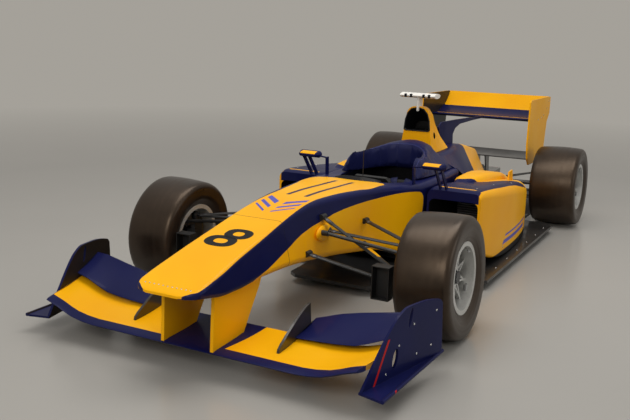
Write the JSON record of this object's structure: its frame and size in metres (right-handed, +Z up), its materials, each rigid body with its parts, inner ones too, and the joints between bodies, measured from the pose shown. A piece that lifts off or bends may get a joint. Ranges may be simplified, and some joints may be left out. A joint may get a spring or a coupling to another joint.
{
  "type": "open wheel racing car",
  "caption": "Single-seat open wheel racing car with high nose, front and rear wings, sidepods, air intake tower, wishbone suspension and slick tyres that steer and roll.",
  "frame": {"origin": "on the ground under the middle of the car's length and width", "axes": "+X to the nose, +Y to the driver's left, +Z up"},
  "size_m": [4.92, 1.91, 1.071],
  "materials": {
    "yellow_paint": "gloss clear coat over composite",
    "navy_paint": "gloss clear coat over composite",
    "white_paint": "gloss",
    "carbon": "lacquered woven composite",
    "black_composite": "satin",
    "tyre_rubber": "slick, lightly polished",
    "rim_metal": "satin",
    "machined_metal": "machined",
    "steel": "bright",
    "cast_metal": "cast",
    "padding": "padded cover",
    "plank_board": "laminated board",
    "lamp_red": "clear red lens"
  },
  "bodies": {
    "chassis": {"monocoque": "yellow_paint", "nose_cone": "yellow_paint", "nose_pylons": "yellow_paint", "front_wing_main_plane": "yellow_paint", "front_wing_flaps": "navy_paint", "front_wing_endplates": "navy_paint", "front_wing_strakes": "carbon", "headrest_padding": "padding", "driver_seat": "black_composite", "airbox": "yellow_paint", "engine_cover": "navy_paint", "onboard_camera": "white_paint", "sidepod_left": "yellow_paint", "sidepod_right": "yellow_paint", "radiators": "machined_metal", "floor": "black_composite", "plank": "plank_board", "diffuser": "carbon", "engine_block": "machined_metal", "gearbox": "cast_metal", "crash_structure": "carbon", "rain_light": "lamp_red", "exhausts": "steel", "rear_wing_main_plane": "navy_paint", "rear_wing_flap": "yellow_paint", "rear_wing_endplates": "yellow_paint", "rear_beam_wing": "carbon", "mirrors": "navy_paint", "front_suspension_arms": "black_composite", "rear_suspension_arms": "black_composite", "rear_uprights": "machined_metal"},
    "knuckle_front_left": {"front_upright_left": "black_composite"},
    "wheel_front_left": {"tyre_front_left": "tyre_rubber", "rim_front_left": "rim_metal", "hub_front_left": "cast_metal"},
    "wheel_rear_left": {"tyre_rear_left": "tyre_rubber", "rim_rear_left": "rim_metal", "axle_rear_left": "cast_metal"},
    "knuckle_front_right": {"front_upright_right": "black_composite"},
    "wheel_front_right": {"tyre_front_right": "tyre_rubber", "rim_front_right": "rim_metal", "hub_front_right": "cast_metal"},
    "wheel_rear_right": {"tyre_rear_right": "tyre_rubber", "rim_rear_right": "rim_metal", "axle_rear_right": "cast_metal"},
    "steering_rack": {"steering_rack": "black_composite"},
    "steering_wheel": {"steering_wheel": "black_composite"}
  },
  "joints": [
    {"name": "steer_front_left", "type": "hinge", "parent": "chassis", "child": "knuckle_front_left", "pos_m": [1.28, 0.68, 0.31113], "axis": [0, 0, 1], "range_deg": [-18, 18]},
    {"name": "spin_front_left", "type": "hinge", "parent": "knuckle_front_left", "child": "wheel_front_left", "pos_m": [1.28, 0.788, 0.31113], "axis": [0, 0.999, 0.0436], "continuous": true},
    {"name": "spin_rear_left", "type": "hinge", "parent": "chassis", "child": "wheel_rear_left", "pos_m": [-1.74, 0.724, 0.31026], "axis": [0, 0.9998, 0.0209], "continuous": true},
    {"name": "steer_front_right", "type": "hinge", "parent": "chassis", "child": "knuckle_front_right", "pos_m": [1.28, -0.68, 0.31113], "axis": [0, 0, 1], "range_deg": [-18, 18]},
    {"name": "spin_front_right", "type": "hinge", "parent": "knuckle_front_right", "child": "wheel_front_right", "pos_m": [1.28, -0.788, 0.31113], "axis": [0, 0.999, -0.0436], "continuous": true},
    {"name": "spin_rear_right", "type": "hinge", "parent": "chassis", "child": "wheel_rear_right", "pos_m": [-1.74, -0.724, 0.31026], "axis": [0, 0.9998, -0.0209], "continuous": true},
    {"name": "rack_slide", "type": "slide", "parent": "chassis", "child": "steering_rack", "axis": [0, 1, 0], "range_m": [-0.0253, 0.0253]},
    {"name": "steering_wheel_turn", "type": "hinge", "parent": "chassis", "child": "steering_wheel", "pos_m": [0.375, 0, 0.515], "axis": [-0.9659, 0, 0.2588], "range_deg": [-162.5, 162.5]}
  ],
  "couplings": [
    {"joint": "steer_front_right", "follows": "steer_front_left", "ratio": 1},
    {"joint": "rack_slide", "follows": "steer_front_left", "m_per_rad": 0.08},
    {"joint": "steering_wheel_turn", "follows": "steer_front_left", "ratio": 9}
  ]
}
